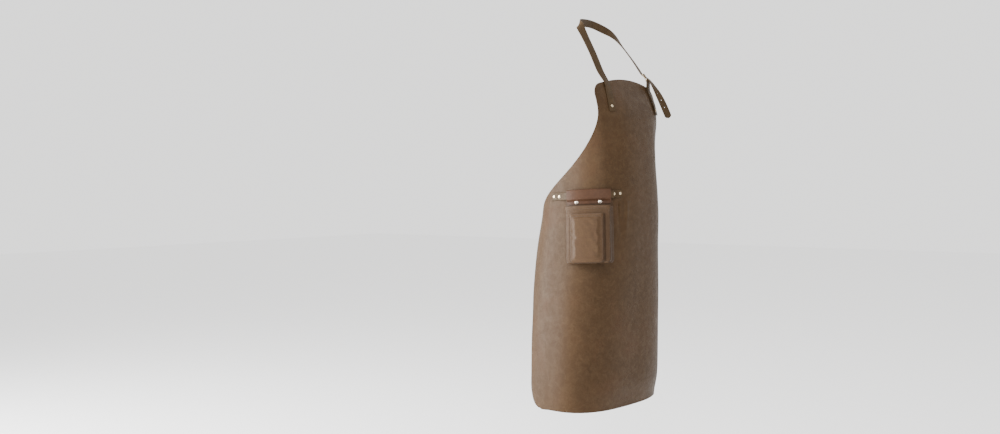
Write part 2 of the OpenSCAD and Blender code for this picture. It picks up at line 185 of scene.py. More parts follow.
def folds(s, z):
    """How far the leather stands off its mean form: soft drapes, in mm."""
    down = -z
    out = np.zeros_like(s)
    for side in (-1, 1):
        t = side * s
        fade = np.clip((down - 60) / 90, 0, 1) * np.exp(-((down - 60) / 420) ** 2)
        out += 2.2 * fade * ridge(t, 158 + 0.06 * down, 20)
        out -= 2.0 * fade * ridge(t, 118 + 0.03 * down, 22)
        skirt = np.clip((down - 430) / 300, 0, 1)
        out += skirt * (1.6 * np.cos(t / 62 + down / 260 + side) - 0.8)
    # pulls beside the rivets of the hanger strap
    for s0, z0 in HANGER_ENDS:
        out -= 1.2 * ridge(s, s0, 26) * ridge(z, z0, 16)
    out += 0.7 * np.sin(s / 47 + z / 90) * np.sin(z / 61 - s / 140)
    # the pocket lies against this stretch, and the straps against the bib's corners
    calm = np.clip(ridge(s, -235, 100) * ridge(z, -440, 170) * 1.6, 0, 1)
    strap = np.clip(ridge(np.abs(s), 132, 26) * np.clip((z + 130) / 20, 0, 1) * 1.6, 0, 1)
    # the crease that the strap's pull draws in below its front rivets, with a ridge beside it
    fall = np.clip((-366 - z) / 10, 0, 1) * np.clip((z + 490) / 80, 0, 1)
    valley = fall * (3.0 * ridge(s, -93, 8) - 9.0 * ridge(s, -112, 9.5))
    return out * (1 - calm) * (1 - strap) - 1.0 * calm + valley


def panel_grid():
    rows = panel_rows()
    u = np.linspace(-1, 1, 181)
    fine = np.arange(0, 161, 0.5)
    grid, flat = [], []
    for half, z_mid, z_edge in rows:
        line = section(np.float64(z_edge), fine)
        run = run_of(line)
        s = half * u
        phi = np.sign(s) * np.interp(np.abs(s), run, fine)
        z = z_mid + (z_edge - z_mid) * u * u
        grid.append(section(z, phi) + folds(s, z)[:, None] * outward(z, phi))
        flat.append(np.stack([s, z], -1))
    return np.array(grid), np.array(flat)


def grid_normals(g):
    du = np.gradient(g, axis=1)
    dv = np.gradient(g, axis=0)
    return unit(np.cross(dv, du))


# ---- meshes
def mesh_object(name, verts, faces, indices=None, smooth_angle=45):
    mesh = bpy.data.meshes.new(name)
    mesh.from_pydata([tuple(v) for v in verts], [], [tuple(f) for f in faces])
    if indices is not None:
        mesh.polygons.foreach_set("material_index", np.asarray(indices, np.int32))
    bm = bmesh.new()
    bm.from_mesh(mesh)
    bmesh.ops.remove_doubles(bm, verts=bm.verts, dist=1e-7)
    bmesh.ops.recalc_face_normals(bm, faces=bm.faces)
    bm.to_mesh(mesh)
    bm.free()
    mesh.shade_smooth()
    mesh.set_sharp_from_angle(angle=math.radians(smooth_angle))
    obj = bpy.data.objects.new(name, mesh)
    bpy.context.scene.collection.objects.link(obj)
    return obj


def rim_loop(rows, columns):
    """Indices of a grid's border, in order."""
    top = [(0, c) for c in range(columns)]
    right = [(r, columns - 1) for r in range(1, rows)]
    bottom = [(rows - 1, c) for c in range(columns - 2, -1, -1)]
    left = [(r, 0) for r in range(rows - 2, 0, -1)]
    return top + right + bottom + left


def shell(name, face, back, smooth_angle=60):
    """A closed sheet between two grids of points, with a rounded edge: slots face, back, edge."""
    rows, columns = face.shape[:2]
    n = rows * columns
    verts = np.concatenate([face.reshape(-1, 3), back.reshape(-1, 3)])
    i = np.arange(n).reshape(rows, columns)
    a, b, c, d = i[:-1, :-1].ravel(), i[:-1, 1:].ravel(), i[1:, 1:].ravel(), i[1:, :-1].ravel()
    faces = [tuple(f) for f in np.stack([a, d, c, b], -1)]
    faces += [tuple(f) for f in np.stack([a, b, c, d], -1) + n]
    indices = [0] * len(a) + [1] * len(a)
    loop = rim_loop(rows, columns)
    ring = np.array([i[r, k] for r, k in loop])
    inner = np.array([i[min(max(r, 1), rows - 2), min(max(k, 1), columns - 2)] for r, k in loop])
    middle = (verts[ring] + verts[ring + n]) / 2
    thick = np.linalg.norm(verts[ring] - verts[ring + n], axis=1, keepdims=True)
    away = middle - (verts[inner] + verts[inner + n]) / 2
    middle = middle + unit(away) * thick * 0.22
    base = len(verts)
    verts = np.concatenate([verts, middle])
    m = len(ring)
    for k in range(m):
        j = (k + 1) % m
        faces.append((ring[k], ring[j], base + j, base + k))
        faces.append((base + k, base + j, ring[j] + n, ring[k] + n))
        indices += [2, 2]
    return mesh_object(name, to_row(verts), faces, indices, smooth_angle)


def smoothed(stations, parts):
    """A Catmull-Rom curve through stations of (middle, direction across)."""
    p = np.array([np.concatenate([a, b]) for a, b in stations], float)
    p = np.concatenate([p[:1], p, p[-1:]])
    out = []
    for i in range(1, len(p) - 2):
        for f in np.arange(parts) / parts:
            a, b, c, d = p[i - 1:i + 3]
            out.append(0.5 * (2 * b + (c - a) * f + (2 * a - 5 * b + 4 * c - d) * f * f
                              + (3 * b - a - 3 * c + d) * f ** 3))
    out.append(p[-2])
    return np.array(out)


def strap_profile(w, t, crease=True):
    """Half outline of a strap's cut, from one edge to the other over its face."""
    h, e = w / 2, min(t * 0.45, 0.9)
    pts = [(-h, 0), (-h + 0.25 * e, t / 2 - 0.75 * e + 0.3), (-h + e, t / 2)]
    if crease:
        pts += [(-h + 2.0, t / 2), (-h + 2.45, t / 2 - 0.28), (-h + 2.9, t / 2)]
    pts += [(-h * 0.45, t / 2 + 0.12), (0, t / 2 + 0.16)]
    return pts + [(-x, y) for x, y in pts[-2::-1]]


def ribbon(name, route, w, t, round_end=0.0):
    """A strap along a route: slots face, back, edge. round_end rounds its last stretch."""
    p, across = route[:, :3], route[:, 3:]
    along = unit(np.gradient(p, axis=0))
    across = unit(across - (across * along).sum(1, keepdims=True) * along)
    normal = np.cross(across, along)
    top = strap_profile(w, t)
    ring = top + [(x, -y) for x, y in strap_profile(w, t, False)[-2:0:-1]]
    run = run_of(p)
    rest = run[-1] - run
    verts = []
    for k in range(len(p)):
        narrow = 1.0
        if round_end and rest[k] < round_end:
            narrow = max(0.12, math.sqrt(1 - (1 - rest[k] / round_end) ** 2))
        verts += [p[k] + across[k] * x * narrow + normal[k] * y for x, y in ring]
    m = len(ring)
    faces, indices = [], []
    edge_columns = {0, 1, len(top) - 3, len(top) - 2}
    for k in range(len(p) - 1):
        for j in range(m):
            j2 = (j + 1) % m
            faces.append((k * m + j, k * m + j2, (k + 1) * m + j2, (k + 1) * m + j))
            on_edge = j in edge_columns or j in (len(top) - 1, m - 1)
            indices.append(2 if on_edge else 0 if j < len(top) - 1 else 1)
    faces += [tuple(range(m)), tuple(range((len(p) - 1) * m, len(p) * m))]
    indices += [2, 2]
    return mesh_object(name, to_row(verts), faces, indices, 50)


def basis(origin, axis):
    """Axes with +Z along axis, and their origin."""
    z = unit(axis)
    x = np.cross((0, 0, 1), z)
    x = unit(x) if np.linalg.norm(x) > 1e-6 else np.array([1.0, 0, 0])
    y = np.cross(z, x)
    return np.array([x, y, z]), np.asarray(origin, float)


def lathe(profile, frame_of, steps=40):
    """Points and faces of a profile of (radius, height) turned about an axis."""
    axes, origin = frame_of
    verts, faces = [], []
    for r, h in profile:
        for k in range(steps):
            a = 2 * math.pi * k / steps
            verts.append(origin + np.array([r * math.cos(a), r * math.sin(a), h]) @ axes)
    for i in range(len(profile) - 1):
        for k in range(steps):
            j = (k + 1) % steps
            faces.append((i * steps + k, i * steps + j, (i + 1) * steps + j, (i + 1) * steps + k))
    faces += [tuple(range(steps)), tuple(range((len(profile) - 1) * steps, len(profile) * steps))]
    return verts, faces


def turned(name, profile, places):
    """One object of the same turned form at several places."""
    verts, faces = [], []
    for place in places:
        v, f = lathe(profile, place)
        faces += [tuple(i + len(verts) for i in face) for face in f]
        verts += v
    return mesh_object(name, to_row(verts), faces, None, 35)


PITCH, STITCH, THREAD_R, SINK = 4.0, 2.9, 0.42, 0.12


def stitched(name, lines):
    """Stitches along lines of (points, normals): each one a short bowed capsule of thread."""
    verts, faces = [], []
    sides, stops = 6, (-1, -0.8, -0.35, 0.35, 0.8, 1)
    for points, normals in lines:
        points, normals = np.asarray(points, float), np.asarray(normals, float)
        run = run_of(points)
        count = max(1, int(run[-1] / PITCH))
        for k in range(count):
            s = (k + 0.5) * run[-1] / count
            mid = np.array([np.interp(s, run, points[:, j]) for j in range(3)])
            ahead = np.array([np.interp(min(s + 1, run[-1]), run, points[:, j]) for j in range(3)])
            behind = np.array([np.interp(max(s - 1, 0), run, points[:, j]) for j in range(3)])
            n = unit([np.interp(s, run, normals[:, j]) for j in range(3)])
            t = unit(ahead - behind)
            b = np.cross(n, t)
            first = len(verts)
            for stop in stops:
                r = THREAD_R * math.sqrt(max(0.08, 1 - abs(stop) ** 3))
                bow = THREAD_R * (0.9 - 1.1 * stop * stop) - SINK
                centre = mid + t * stop * STITCH / 2 + n * bow
                for q in range(sides):
                    a = 2 * math.pi * q / sides
                    verts.append(centre + (b * math.cos(a) + n * math.sin(a)) * r)
            for i in range(len(stops) - 1):
                for q in range(sides):
                    q2 = (q + 1) % sides
                    faces.append((first + i * sides + q, first + i * sides + q2,
                                  first + (i + 1) * sides + q2, first + (i + 1) * sides + q))
            faces.append(tuple(first + q for q in range(sides)))
            faces.append(tuple(first + (len(stops) - 1) * sides + q for q in range(sides)))
    return mesh_object(name, to_row(verts), faces, None, 80)


def cut(obj, cutter):
    """Takes the cutter's shape out of obj for good."""
    mod = obj.modifiers.new("cut", "BOOLEAN")
    mod.operation, mod.solver, mod.object = "DIFFERENCE", "EXACT", cutter
    mod.use_self = True
    mesh = bpy.data.meshes.new_from_object(
        obj.evaluated_get(bpy.context.evaluated_depsgraph_get()))
    obj.modifiers.clear()
    obj.data = mesh
    mesh.set_sharp_from_angle(angle=math.radians(50))
    bpy.data.objects.remove(cutter)


# ---- neck strap and buckle
STRAP_W, STRAP_T, LOOP_T = 25, 2.4, 2.0
SEAT, GAP = 0.8, 0.3
RIVET_X, RIVET_Z = 130, -88
BUCKLE_AT = np.array([126, -85, 17.0])
UP = unit([-0.193, 0.535, 0.823])
BUCKLE_TURN = math.radians(14)
ACROSS = np.array([math.cos(BUCKLE_TURN), math.sin(BUCKLE_TURN), 0])
ACROSS = unit(ACROSS - (ACROSS @ UP) * UP)
OUT = np.cross(ACROSS, UP)
HALF_LEN, WIRE_R = 12.5, 1.5
LOOP_R = WIRE_R + 0.6 + LOOP_T / 2
BEHIND_NOSE = -(WIRE_R + 0.8 + STRAP_T / 2)
OVER_HEEL = LOOP_R + LOOP_T / 2 + 0.5 + STRAP_T / 2
TAIL_TURN = 45
HOLES, HOLE_D, HOLE_PITCH, SLOT_TO_TAIL = 4, 4, 25, 14


def at_buckle(n, u):
    return BUCKLE_AT + n * OUT + u * UP


def tail_at(d):
    """The middle of the strap's free tail, d mm below the middle of the buckle."""
    return at_buckle(OVER_HEEL - 17 * max(0, (d - 40) / 110) ** 1.5, -d)


def tail_across(d):
    """Its direction across: the tail turns to face the wearer's right as it hangs."""
    w = math.radians(TAIL_TURN) * min(1, max(0, (d - 18) / 70))
    return ACROSS * math.cos(w) + OUT * math.sin(w)


def strap_route():
    lift = SEAT + STRAP_T / 2
    x = -RIVET_X
    nape = HANG + np.array([0, 0, STRAP_W / 2])
    return smoothed([
        (on_bib(x, RIVET_Z - 15, lift), along_bib(x, RIVET_Z)),
        (on_bib(x + 1, RIVET_Z + 15, lift), along_bib(x, RIVET_Z)),
        (on_bib(x + 6, -44, lift), along_bib(x + 6, -44)),
        (on_bib(x + 10, -16, lift + 1), along_bib(x + 10, -16)),
        ((-114, -65, 20), (0.93, -0.37, 0)),
        ((-106, -34, 75), (0.9, -0.43, 0)),
        ((-95, 2, 130), (0.87, -0.48, 0.1)),
        ((-84, 26, 163), (0.62, -0.45, 0.6)),
        ((-62, 41, 178), (0.1, -0.1, 1)),
        (nape, (0, 0, 1)),
        ((48, 33, 172), (0, 0, 1)),
        ((78, 9, 152), (0.5, 0.3, 0.8)),
        ((93, -20, 114), (0.92, 0.38, 0.1)),
        ((108, -50, 69), (0.95, 0.3, 0)),
        (at_buckle(BEHIND_NOSE, 30), ACROSS),
        (at_buckle(BEHIND_NOSE, 14), ACROSS),
        (at_buckle((BEHIND_NOSE + OVER_HEEL) / 2, 0), ACROSS),
        (tail_at(14), tail_across(14)),
        (tail_at(40), tail_across(40)),
        (tail_at(70), tail_across(70)),
        (tail_at(105), tail_across(105)),
        (tail_at(150), tail_across(150))], 8)


def loop_route():
    front, back = SEAT + 3 * GAP + 1.5 * LOOP_T, SEAT + LOOP_T / 2
    low, high, x = RIVET_Z - 15, RIVET_Z + 15, RIVET_X
    stations = [(on_bib(x, low, front), along_bib(x, RIVET_Z)),
                (on_bib(x, high, front), along_bib(x, RIVET_Z)),
                (on_bib(x - 1, -50, front), along_bib(x, -50)),
                (on_bib(x - 2, -24, front + 0.5), along_bib(x, -24)),
                (at_buckle(LOOP_R, -HALF_LEN - 3), ACROSS)]
    for q in np.radians([90, 67.5, 45, 22.5, 0, -22.5, -45, -67.5, -90]):
        stations.append((at_buckle(LOOP_R * math.sin(q), LOOP_R * math.cos(q) - HALF_LEN), ACROSS))
    stations += [(at_buckle(-LOOP_R, -HALF_LEN - 3), ACROSS),
                 (on_bib(x - 2, -24, back + 0.5), along_bib(x, -24)),
                 (on_bib(x - 1, -50, back), along_bib(x, -50)),
                 (on_bib(x, high, back), along_bib(x, RIVET_Z)),
                 (on_bib(x, low, back), along_bib(x, RIVET_Z))]
    return smoothed(stations, 5)


def prism(name, centre, axes, width, length, height):
    """A round-ended cutter: its long side lies along axes[1] and its depth along axes[2]."""
    r = width / 2
    outline = []
    for k in range(32):
        a = 2 * math.pi * k / 32
        shift = max(0, length / 2 - r) * (1 if math.sin(a) > 0 else -1)
        outline.append((r * math.cos(a), r * math.sin(a) + shift))
    verts = [centre + x * axes[0] + y * axes[1] + h * axes[2]
             for h in (-height / 2, height / 2) for x, y in outline]
    m = len(outline)
    faces = [(k, (k + 1) % m, m + (k + 1) % m, m + k) for k in range(m)]
    faces += [tuple(range(m)), tuple(range(m, 2 * m))]
    return mesh_object(name, to_row(verts), faces, [2] * len(faces))


def make_straps():
    axes = (ACROSS, UP, OUT)
    strap = ribbon("neck_strap_leather", strap_route(), STRAP_W, STRAP_T, round_end=9)
    cut(strap, prism("slot", at_buckle(1.2, -2), axes, 3.4, 15, 20))
    for k in range(1, HOLES + 1):
        d = SLOT_TO_TAIL + HOLE_PITCH * k
        side = tail_across(d)
        hole_axes = (side, UP, np.cross(side, UP))
        cut(strap, prism("hole", tail_at(d), hole_axes, HOLE_D, HOLE_D, 12))
    loop = ribbon("buckle_strap_leather", loop_route(), STRAP_W - 1, LOOP_T)
    cut(loop, prism("eye_slot", at_buckle(0, 0.5 - HALF_LEN), axes, 4.8, 12, 12))
    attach(strap, "apron")
    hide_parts("neck_strap")
    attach(loop, "apron")
    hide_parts("buckle_strap")
    return strap, loop


# ---- pocket
TURN, LEAN, ROLL = math.radians(-70), math.radians(7.3), math.radians(2.5)
SIDE_LEAN = math.radians(6)
HANGER_W, HANGER_T = 24, 2.0
POCKET_R, POCKET_T, ROOM = 180, 1.8, 1.5
BACK_R = POCKET_R - HANGER_T / 2 - ROOM - POCKET_T
FRONT_R = BACK_R + POCKET_T + 21
SMALL_R = FRONT_R + POCKET_T + 13
FLAP_R = POCKET_R + HANGER_T / 2 + ROOM
FLAP_LOW_R = BACK_R + POCKET_T + GAP
FOLD_Z, BOTTOM_Z, MAIN_TOP_Z, SMALL_TOP_Z, FLAP_END_Z = 13, -205, -35, -60, -27.5
BACK_W, MAIN_W, SMALL_BACK_W, SMALL_W = 75, 69, 56, 52  # half widths
FOLD_HALF = MAIN_W / POCKET_R
FLAP_MID_R, BACK_MID_R = FLAP_R + POCKET_T / 2, BACK_R + POCKET_T / 2
FLAP_BEND, BACK_BEND = (6.5, 0.5), (-20.0, -32.0)  # heights of two points on each one's middle, which nothing uses
SNAP_X, SNAP_Z = 36, -21.2
OUT_DIR = np.array([math.sin(TURN), -math.cos(TURN), 0])
REACH = (section(np.float64(HANGER_Z), np.arange(-110.0, -19.0)) @ OUT_DIR).max()
POCKET_GAP = 1.8
HANGER_OUT = REACH + POCKET_GAP + POCKET_R - BACK_R


def pocket_turned(v):
    """A direction of the pocket's own axes (x along the strap, -y outwards) in the part's axes."""
    x, y, z = np.moveaxis(np.asarray(v, float), -1, 0)
    x, z = x * math.cos(ROLL) - z * math.sin(ROLL), z * math.cos(ROLL) + x * math.sin(ROLL)
    y, z = y * math.cos(LEAN) + z * math.sin(LEAN), z * math.cos(LEAN) - y * math.sin(LEAN)
    return np.stack([x * math.cos(TURN) - y * math.sin(TURN),
                     x * math.sin(TURN) + y * math.cos(TURN), z], -1)


def in_pocket(p):
    return pocket_turned(p) + HANGER_OUT * OUT_DIR + np.array([0, 0, HANGER_Z])


def bent(a, r, z):
    """Points at radius r and angle a of the pocket's bend."""
    a, r, z = np.broadcast_arrays(a, r, z)
    return in_pocket(np.stack([r * np.sin(a), POCKET_R - r * np.cos(a), z], -1))


def bent_outward(a):
    a = np.asarray(a, float)
    return pocket_turned(np.stack([np.sin(a), -np.cos(a), 0 * a], -1))


def hanger_route():
    def on_side(phi):
        z = np.float64(strap_z(phi))
        rise = unit(np.array([0, 0, 1]) - math.sin(SIDE_LEAN) * outward(np.float64(HANGER_Z), phi))
        return section(z, phi) + (SEAT + HANGER_T / 2) * outward(z, phi), rise
    stations = [on_side(phi) for phi in (-106, -103, -99.5, -96.5)]
    for a in np.radians(np.arange(-24, 25, 4)):
        stations.append((bent(a, POCKET_R, 0), pocket_turned([0, 0, 1])))
    stations += [on_side(phi) for phi in (-39, -35, -31, -28)]
    return smoothed(stations, 8)


def thickened(name, mid, thick, mouth=None, flip=False):
    """A sheet about a grid of middle points; mouth thickens its face like a turned hem."""
    n = grid_normals(mid) * (-1 if flip else 1)
    extra = 0 if mouth is None else mouth[..., None]
    return shell(name, mid + n * (thick / 2 + extra), mid - n * thick / 2)


def rounded_half(half, z, bottom, corner):
    """The half width of a sheet whose lower corners are rounded."""
    h = np.clip((bottom + corner - z) / corner, 0, 1)
    return half - corner * (1 - np.sqrt(np.maximum(1 - h * h, 0.0)))


def rows_towards_bottom(top, bottom, corner, count):
    """Heights from top to bottom, closer together round the lower corners."""
    straight = np.linspace(top, bottom + corner, count)
    q = np.linspace(0, math.pi / 2, 12)[1:]
    return np.concatenate([straight, bottom + corner * (1 - np.sin(q))])


CORNER = 12


def front_bulge(share, z, top, bottom, height):
    """How far a pocket's front stands out: most in its middle, none along its seams."""
    down = np.clip((top - z) / (top - bottom), 0, 1)
    swell = 0.45 + 0.55 * np.sin(math.pi * down)
    return height * (1 - share ** 2) ** 0.8 * (1 - down ** 4) * swell


def rolled(half_mm, u, z, roll=3.0, reach=5.0):
    """How far a front's border turns back towards the gusset, along its sides and bottom."""
    aside = half_mm * (1 - np.abs(u))
    below = (z - BOTTOM_Z) + 0 * u
    near = np.clip(1 - np.minimum(aside, below) / reach, 0, 1)
    return roll * (1 - np.sqrt(np.maximum(1 - near ** 2, 0.0)))


def fold_profile():
    """Middle points (radius, height) of the fold over the hanger strap and of the flap."""
    q = np.linspace(math.pi, 0, 22)
    ring = np.stack([POCKET_R + 3.4 * np.cos(q),
                     FOLD_Z + 3.4 * np.sin(q)], -1)
    top, low = FLAP_R + POCKET_T / 2, FLAP_LOW_R + POCKET_T / 2
    z = np.linspace(FOLD_Z, FLAP_END_Z, 44)[1:]
    step = np.clip((-11.2 - z) / 8.6, 0, 1)
    r = top + (low - top) * step * step * (3 - 2 * step)
    return np.concatenate([ring, np.stack([r, z], -1)])


def make_flap():
    u = np.linspace(-1, 1, 61)
    profile = fold_profile()
    run = run_of(profile)
    end = np.clip((run - run[-1] + 7) / 7, 0, 1)
    half = FOLD_HALF * POCKET_R - 0.4 - 7 * (1 - np.sqrt(np.maximum(1 - end ** 2, 0)))
    front = profile[:, 1] < FOLD_Z
    mid = []
    for (r, z), h, is_front in zip(profile, half, front):
        rise = 0.0
        if is_front:
            rise = 0.5 * np.sin(math.pi * np.clip((FOLD_Z - z) / 40, 0, 1)) * np.cos(u * 5.0)
            rise = np.maximum(rise, 0)
        mid.append(bent(u * h / POCKET_R, r + rise, z))
    flap = thickened("pocket_flap_leather", np.array(mid), POCKET_T)
    start, end = (tuple(to_row(bent(0.0, FLAP_MID_R, z))) for z in FLAP_BEND)
    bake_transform(flap)
    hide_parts("pocket_flap", "pocket_top_fold")
    return flap


def back_half_width(z):
    shoulder = np.clip((-12 - z) / 10, 0, 1)
    width = MAIN_W + (BACK_W - MAIN_W) * shoulder * shoulder * (3 - 2 * shoulder)
    return rounded_half(width, z, BOTTOM_Z, CORNER)


def make_pocket_back():
    z = rows_towards_bottom(FOLD_Z, BOTTOM_Z, CORNER, 70)
    u = np.linspace(-1, 1, 61)
    half = back_half_width(z) / POCKET_R
    mid = bent(half[:, None] * u, BACK_MID_R, z[:, None])
    back = thickened("pocket_back_leather", mid, POCKET_T)
    start, end = (tuple(to_row(bent(0.0, BACK_MID_R, z))) for z in BACK_BEND)
    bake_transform(back)
    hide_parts("pocket_back")
    return back


def main_front_r(u, z):
    return FRONT_R + POCKET_T / 2 + front_bulge(u, z, MAIN_TOP_Z, BOTTOM_Z, 2.6)


def make_main_front():
    z = rows_towards_bottom(MAIN_TOP_Z, BOTTOM_Z, CORNER, 64)[:, None]
    u = np.linspace(-1, 1, 61)[None, :]
    half = rounded_half(MAIN_W, z, BOTTOM_Z, CORNER) / FRONT_R
    mid = bent(half * u, main_front_r(u, z) - rolled(half * FRONT_R, u, z), z)
    hem = 0.8 * np.clip((z - MAIN_TOP_Z + 11.6) / 0.9, 0, 1) + 0 * u
    front = thickened("main_pocket_front_leather", mid, POCKET_T, hem)
    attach(front, "pocket")
    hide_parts("main_pocket_front")
    return front


def outline(half, top, corner):
    """The sides and bottom of a pocket's front as (arc length from its middle, height)."""
    down = np.linspace(top, BOTTOM_Z + corner, 40)
    q = np.linspace(0, math.pi / 2, 10)[1:]
    across = np.linspace(half - corner, 0, 24)[1:]
    s = np.concatenate([0 * down + half, half - corner * (1 - np.cos(q)), across])
    z = np.concatenate([down, BOTTOM_Z + corner * (1 - np.sin(q)), 0 * across + BOTTOM_Z])
    return np.concatenate([-s, s[-2::-1]]), np.concatenate([z, z[-2::-1]])


def make_gusset(name, node, inner, outer, top, pleat):
    """The strip between two outlines (half width, corner, radius), its middle folded in."""
    s0, z0 = outline(inner[0] - POCKET_T / 2, top, inner[1])
    s1, z1 = outline(outer[0] - POCKET_T / 2, top, outer[1])
    z0, z1 = np.maximum(z0, BOTTOM_Z + POCKET_T / 2), np.maximum(z1, BOTTOM_Z + POCKET_T / 2)
    v = np.linspace(0, 1, 13)[:, None]
    middle_s, middle_z = (s0 + s1) / 2, (z0 + z1) / 2
    tangent = unit(np.stack([np.gradient(middle_s), np.gradient(middle_z)], -1))
    inward = np.stack([-tangent[:, 1], tangent[:, 0]], -1)
    depth = pleat * np.sin(math.pi * v) ** 2
    a0, a1 = s0 / inner[2], s1 / outer[2]
    r = inner[2] + (outer[2] - inner[2]) * v
    s = (a0 + (a1 - a0) * v) * r + depth * inward[:, 0]
    z = z0 + (z1 - z0) * v + depth * inward[:, 1]
    mid = bent(s / r, r, z)
    gusset = thickened(name, mid, POCKET_T, flip=True)
    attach(gusset, "pocket")
    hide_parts(node)
    return gusset


# the cloth is simulated ten times full size, and no point may end more than this many mm away
CLOTH_SCALE, CLOTH_FRAMES, CLOTH_LIMIT = 10.0, 30, 4.5


def puffed(grid, seed_rise, inner):
    """The front of a used pocket: leather a little too large for its seams, pushed out and
    creased by a cloth simulation. inner is 1 inside the rolled border and 0 on it. Returns the
    grid of points it settles at, in mm."""
    rows, columns = grid.shape[:2]
    start = (grid + seed_rise).reshape(-1, 3)
    i = np.arange(rows * columns).reshape(rows, columns)
    faces = np.stack([i[:-1, :-1], i[1:, :-1], i[1:, 1:], i[:-1, 1:]], -1).reshape(-1, 4)
    mesh = bpy.data.meshes.new("front_cloth")
    mesh.from_pydata([tuple(v) for v in start / 1000 * CLOTH_SCALE], [], [tuple(f) for f in faces])
    obj = bpy.data.objects.new("front_cloth", mesh)
    bpy.context.scene.collection.objects.link(obj)
    held = obj.vertex_groups.new(name="seams")
    border = [int(i[r, c]) for r, c in rim_loop(rows, columns)]
    held.add(border + [int(k) for k in i[1]], 1.0, "REPLACE")
    mod = obj.modifiers.new("Cloth", "CLOTH")
    cloth = mod.settings
    cloth.vertex_group_mass = "seams"
    cloth.quality = 8
    cloth.mass = 0.4
    cloth.tension_stiffness = cloth.compression_stiffness = 25
    cloth.shear_stiffness = 12
    cloth.bending_stiffness = 15
    cloth.shrink_min = cloth.shrink_max = -0.02
    cloth.use_pressure = True
    cloth.uniform_pressure_force = 0.6
    cloth.effector_weights.gravity = 0
    mod.collision_settings.use_collision = False
    scene = bpy.context.scene
    for frame_no in range(1, CLOTH_FRAMES + 1):
        scene.frame_set(frame_no)
    done = obj.evaluated_get(bpy.context.evaluated_depsgraph_get()).data
    points = np.array([v.co for v in done.vertices]).reshape(rows, columns, 3) / CLOTH_SCALE * 1000
    scene.frame_set(1)
    bpy.data.objects.remove(obj)
    moved = (points - grid) * inner[..., None]
    far = np.linalg.norm(moved, axis=-1, keepdims=True)
    return grid + moved * np.minimum(1, CLOTH_LIMIT / np.maximum(far, 1e-6))


def make_small_front():
    z = rows_towards_bottom(SMALL_TOP_Z, BOTTOM_Z, CORNER, 60)[:, None]
    u = np.linspace(-1, 1, 53)[None, :]
    half = rounded_half(SMALL_W, z, BOTTOM_Z, CORNER) / SMALL_R
    turned_in = rolled(half * SMALL_R, u, z, roll=5.0, reach=6.0)
    mid = bent(half * u, SMALL_R + POCKET_T / 2 - turned_in, z)
    out = bent_outward(half * u)
    rise = front_bulge(u, z, SMALL_TOP_Z, BOTTOM_Z, 1.8)[..., None] * out
    wave = 0.5 * np.sin(z / 9.0 + 7 * u) * np.sin(5 * u - z / 23.0) * (1 - u ** 4)
    wave = wave[..., None] * out
    margin = np.minimum(SMALL_W * (1 - np.abs(u)), z - BOTTOM_Z)
    margin = np.minimum(margin, SMALL_TOP_Z - z + 0 * u)
    inner = np.clip((margin - 4) / 16, 0, 1)
    inner = inner * inner * (3 - 2 * inner)
    mid = puffed(mid, rise + wave, inner)
    slack = inner * np.clip(0.35 + 1.2 * u, 0, 1)
    crease = 0.75 * np.sin((z + 62 * u) / 5.5 + np.sin(z / 13.0)) * np.sin(z / 19.0 - 2 * u)
    mid = mid + (slack * crease)[..., None] * out
    hem = 0.8 * np.clip((z - SMALL_TOP_Z + 9.6) / 0.9, 0, 1) + 0 * u
    front = thickened("small_pocket_front_leather", mid, POCKET_T, hem)
    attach(front, "pocket")
    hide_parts("small_pocket_front")
    return front, mid


# ---- fasteners
def on_face(z, phi, lift=0.0):
    n = square_to(np.float64(z), phi)
    return basis(section(np.float64(z), phi) + lift * outward(np.float64(z), phi), n)


def cap_profile(d, h, rim=0.5):
    """A pressed cap: a rolled rim, then a dome with a faint ring in its crown."""
    r = d / 2
    rolled_rim = [(0.86, 0.0), (0.97, 0.08), (1, rim * 0.55), (0.965, rim), (0.9, rim + 0.12),
                  (0.84, rim + 0.10)]
    dome = [(0.78, 0.36), (0.62, 0.68), (0.42, 0.9), (0.34, 0.9), (0.26, 0.97)]
    return ([(r * a, b) for a, b in rolled_rim] + [(r * a, rim + (h - rim) * b) for a, b in dome]
            + [(r * 0.1, h), (0.02, h)])


def washer_profile(d, h):
    r = d / 2
    return [(r * 0.95, 0.0), (r, h * 0.3), (r * 0.97, h * 0.85), (r * 0.84, h), (r * 0.5, h * 0.92),
            (r * 0.36, h * 0.75), (r * 0.3, h * 1.15), (r * 0.12, h * 1.25), (0.02, h * 1.25)]


SHAFT_R, RIVET_D, RIVET_H, BURR_H = 1.5, 9, 1.8, 0.9
SNAP_D, SNAP_H, SNAP_RIM = 12, 2.5, 0.7


def rivet_profile(stack):
    """A rivet's shaft through the leathers, and its cap."""
    return [(SHAFT_R, -LEATHER - SEAT - stack), (SHAFT_R, -0.05)] + cap_profile(RIVET_D, RIVET_H)


